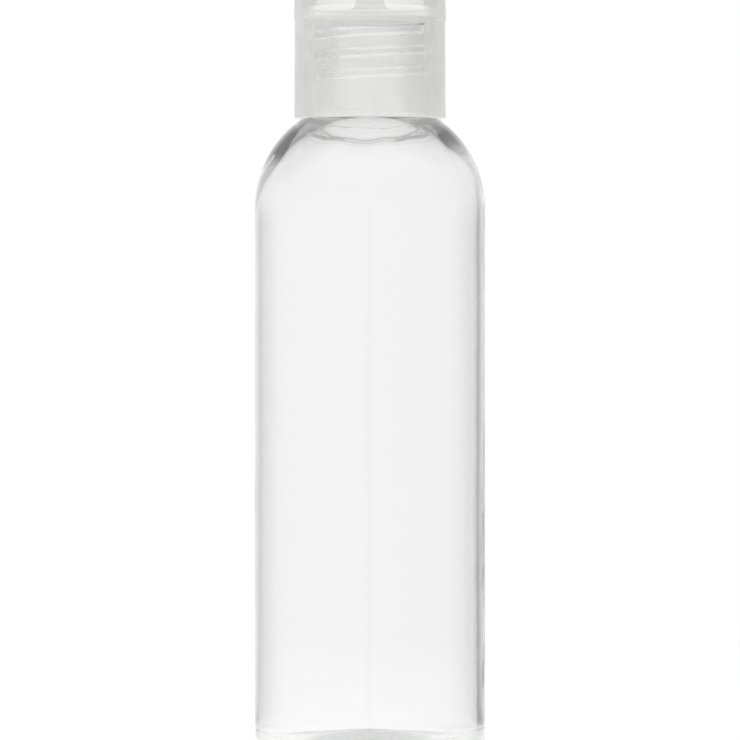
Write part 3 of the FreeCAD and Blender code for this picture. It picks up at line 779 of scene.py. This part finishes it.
def slanted_share(tree, share, around, slant, counts):
    """A share of milk that grows on walls that are seen aslant. It stays as it is where counts is 0."""
    low, high, growth = slant
    more = times(tree, smooth_range(tree, around, low, high), growth)
    return times(tree, plus(tree, times(tree, more, counts), 1.0), share)


def milk_share(tree, side, even_share):
    """How much of the light the milky plastic scatters at a point, from the mesh's marks or all the same.

    Light that comes straight through is scattered once, by the wall on the viewer's side, so the milk
    counts little on the far wall. Upright walls that are seen aslant are milkier, and there the far wall of
    the bore is hidden.
    """
    layer = add_node(tree, "ShaderNodeLayerWeight", Blend=0.5)
    tree.links.new(outward(tree), layer.inputs["Normal"])
    slope = math_node(tree, "ABSOLUTE", axis_of(tree, side.outputs["Normal"], "Z"))
    around = times(tree, layer.outputs["Facing"], one_less(tree, smooth_range(tree, slope, *LEVEL)))
    if even_share is not None:
        share = slanted_share(tree, even_share, around, OUTER_SLANT, 1.0)
        return math_node(tree, "MINIMUM", share, MOST_MILK)
    mark = tree.nodes.new("ShaderNodeAttribute")
    mark.attribute_name = "mark"
    turned = plus(tree, times(tree, side.outputs["Backfacing"], -2.0), 1.0)
    signed = times(tree, mark.outputs["Fac"], turned)
    near = larger(tree, signed, 0.0)
    far = times(tree, math_node(tree, "MINIMUM", signed, 0.0), -FAR_MILK)
    inner = math_node(tree, "LESS_THAN", mark.outputs["Fac"], 0.0)
    below_stem = math_node(tree, "LESS_THAN", mark.outputs["Fac"], STEM_MILK - MARK_STEP)
    skin = times(tree, one_less(tree, inner), below_stem)
    share = slanted_share(tree, plus(tree, near, far), around, OUTER_SLANT, skin)
    share = slanted_share(tree, share, around, INNER_SLANT, inner)
    hiding = times(tree, smooth_range(tree, around, *HIDING_SLANT), inner)
    share = larger(tree, share, times(tree, hiding, side.outputs["Backfacing"]))
    return math_node(tree, "MINIMUM", share, MOST_MILK)


def cap_plastic(even_share=None):
    """Natural polypropylene: milky and a little cloudy, with a satin gloss on its outer faces."""
    material, tree, output = new_material("natural_polypropylene")
    through = add_node(tree, "ShaderNodeBsdfTransparent")
    back = add_node(tree, "ShaderNodeBsdfDiffuse")
    front = add_node(tree, "ShaderNodeBsdfTranslucent")
    clouds = ramp_node(tree, noise_node(tree, CLOUD_SCALE, CLOUD_DETAIL), CAP_CLOUDS)
    for shader in (back, front):
        tree.links.new(clouds, shader.inputs["Color"])
    milk = mix_shaders(tree, 0.5, back.outputs[0], front.outputs[0])
    side = tree.nodes.new("ShaderNodeNewGeometry")
    veil = mix_shaders(tree, milk_share(tree, side, even_share), through.outputs[0], milk)
    gloss = add_node(
        tree, "ShaderNodeBsdfAnisotropic", Roughness=CAP_ROUGHNESS, Color=(1.0, 1.0, 1.0, 1.0)
    )
    tree.links.new(ripples(tree, CAP_GRAIN_SCALE, CAP_GRAIN_HEIGHT), gloss.inputs["Normal"])
    layer = add_node(tree, "ShaderNodeLayerWeight", Blend=0.5)
    at_edge = times(tree, math_node(tree, "POWER", layer.outputs["Facing"], CAP_EDGE_POWER), CAP_EDGE_GLOSS)
    amount = times(tree, plus(tree, at_edge, CAP_GLOSS), one_less(tree, side.outputs["Backfacing"]))
    surface = mix_shaders(tree, amount, veil, gloss.outputs[0])
    tree.links.new(surface, output.inputs["Surface"])
    add_depth(tree, output, CAP_DEPTH, (0.0, 0.0, 0.0))
    return material


def foam():
    """White foamed plastic, matt and finely grained."""
    material, tree, output = new_material("white_foam")
    shader = add_node(
        tree, "ShaderNodeBsdfPrincipled", Roughness=FOAM_ROUGHNESS, Base_Color=(*FOAM_COLOUR, 1.0)
    )
    tree.links.new(ripples(tree, FOAM_SCALE, FOAM_HEIGHT), shader.inputs["Normal"])
    tree.links.new(shader.outputs[0], output.inputs["Surface"])
    return material


def pale_floor():
    """The floor's material: lit near the bottle, plain white further out, and clear from below.

    Reflections see the same studio in it as in the world, so no horizon shows in the plastic.
    """
    material, tree, output = new_material("pale_floor")
    paint = (FLOOR_WHITE, FLOOR_WHITE, FLOOR_WHITE, 1.0)
    diffuse = add_node(tree, "ShaderNodeBsdfDiffuse", Color=paint)
    lift = add_node(tree, "ShaderNodeEmission", Strength=1.0 - FLOOR_WHITE)
    lit = tree.nodes.new("ShaderNodeAddShader")
    tree.links.new(diffuse.outputs[0], lit.inputs[0])
    tree.links.new(lift.outputs[0], lit.inputs[1])
    path, through = seen_through(tree)
    plain = tree.nodes.new("ShaderNodeEmission")
    dimmer = times(tree, path.outputs["Is Diffuse Ray"], FAR_FLOOR_LIGHT - 1.0)
    tree.links.new(plus(tree, dimmer, 1.0), plain.inputs["Strength"])
    where = tree.nodes.new("ShaderNodeNewGeometry")
    way = vector_node(tree, "NORMALIZE", where.outputs["Position"]).outputs[0]
    ahead = zero_to_one(tree, axis_of(tree, way, "Y"))
    studio = tree.nodes.new("ShaderNodeEmission")
    tree.links.new(ramp_node(tree, ahead, AHEAD_LIGHT), studio.inputs["Color"])
    tree.links.new(reflected_share(tree, path), studio.inputs["Strength"])
    distance = vector_node(tree, "LENGTH", where.outputs["Position"]).outputs["Value"]
    shown = larger(tree, through, path.outputs["Is Camera Ray"])
    shown = larger(tree, shown, path.outputs["Is Diffuse Ray"])
    direct = mix_shaders(
        tree, smooth_range(tree, distance, *FLOOR_FADE), lit.outputs[0], plain.outputs[0]
    )
    reflected = mix_shaders(
        tree, smooth_range(tree, distance, *FOOT_GLOW), lit.outputs[0], studio.outputs[0]
    )
    above = mix_shaders(tree, shown, reflected, direct)
    below = add_node(tree, "ShaderNodeBsdfRefraction", IOR=1.0, Roughness=0.0)
    surface = mix_shaders(tree, where.outputs["Backfacing"], above, below.outputs[0])
    tree.links.new(surface, output.inputs["Surface"])
    return material


def make_floor():
    """A pale floor that keeps the bottle's shadow."""
    corners = [(x * FLOOR_REACH, y * FLOOR_REACH, 0) for x, y in ((-1, -1), (1, -1), (1, 1), (-1, 1))]
    mesh = bpy.data.meshes.new("floor")
    mesh.from_pydata(corners, [], [(0, 1, 2, 3)])
    mesh.materials.append(pale_floor())
    floor = bpy.data.objects.new("floor", mesh)
    bpy.context.scene.collection.objects.link(floor)


def background(tree, colour=None, strength=None):
    """A background shader, plain white where no colour is given."""
    node = add_node(tree, "ShaderNodeBackground", Color=(1.0, 1.0, 1.0, 1.0))
    if colour is not None:
        tree.links.new(colour, node.inputs["Color"])
    if strength is not None:
        tree.links.new(strength, node.inputs["Strength"])
    return node.outputs[0]


def make_world():
    """White for what is seen straight or through the plastic, and a quieter studio for light and gloss."""
    world = bpy.data.worlds.new("studio")
    bpy.context.scene.world = world
    world.use_nodes = True
    tree = world.node_tree
    tree.nodes.clear()
    output = tree.nodes.new("ShaderNodeOutputWorld")
    path, through = seen_through(tree)
    way = tree.nodes.new("ShaderNodeTexCoord").outputs["Generated"]
    height = zero_to_one(tree, axis_of(tree, way, "Z"))
    ahead = zero_to_one(tree, axis_of(tree, way, "Y"))
    gloss = background(tree, ramp_node(tree, ahead, AHEAD_LIGHT), reflected_share(tree, path))
    light = background(tree, ramp_node(tree, height, STUDIO_LIGHT))
    behind = background(tree, ramp_node(tree, height, THROUGH_LIGHT))
    surface = mix_shaders(tree, path.outputs["Is Diffuse Ray"], gloss, light)
    surface = mix_shaders(tree, through, surface, behind)
    surface = mix_shaders(tree, path.outputs["Is Camera Ray"], surface, background(tree))
    tree.links.new(surface, output.inputs["Surface"])


def make_lamps():
    """A soft key lamp on the left and a weak one on the right, neither of them seen in the plastic."""
    for name, settings in LAMPS.items():
        data = bpy.data.lights.new(name, "AREA")
        data.size = LAMP_SIZE
        data.energy = settings["power"]
        lamp = bpy.data.objects.new(name, data)
        lamp.location = settings["place"]
        aim = Vector(LAMP_AIM) - Vector(settings["place"])
        lamp.rotation_mode = "QUATERNION"
        lamp.rotation_quaternion = aim.to_track_quat("-Z", "Y")
        lamp.visible_glossy = False
        lamp.visible_transmission = False
        bpy.context.scene.collection.objects.link(lamp)


def make_camera():
    """Level, a little below the cap, and so far back that the view is almost parallel."""
    data = bpy.data.cameras.new("camera")
    data.sensor_width = SENSOR_WIDTH
    data.lens = SENSOR_WIDTH * CAMERA_DISTANCE / PICTURE_WIDTH
    data.clip_start = 0.01
    camera = bpy.data.objects.new("camera", data)
    camera.location = (0.0, -CAMERA_DISTANCE, CAMERA_HEIGHT)
    camera.rotation_euler = (math.radians(90), 0, 0)
    bpy.context.scene.collection.objects.link(camera)
    bpy.context.scene.camera = camera


make_bottle()
make_washer()
make_cap()
dress_disc()
make_floor()
make_world()
make_lamps()
make_camera()
bpy.context.scene.view_settings.view_transform = "Standard"
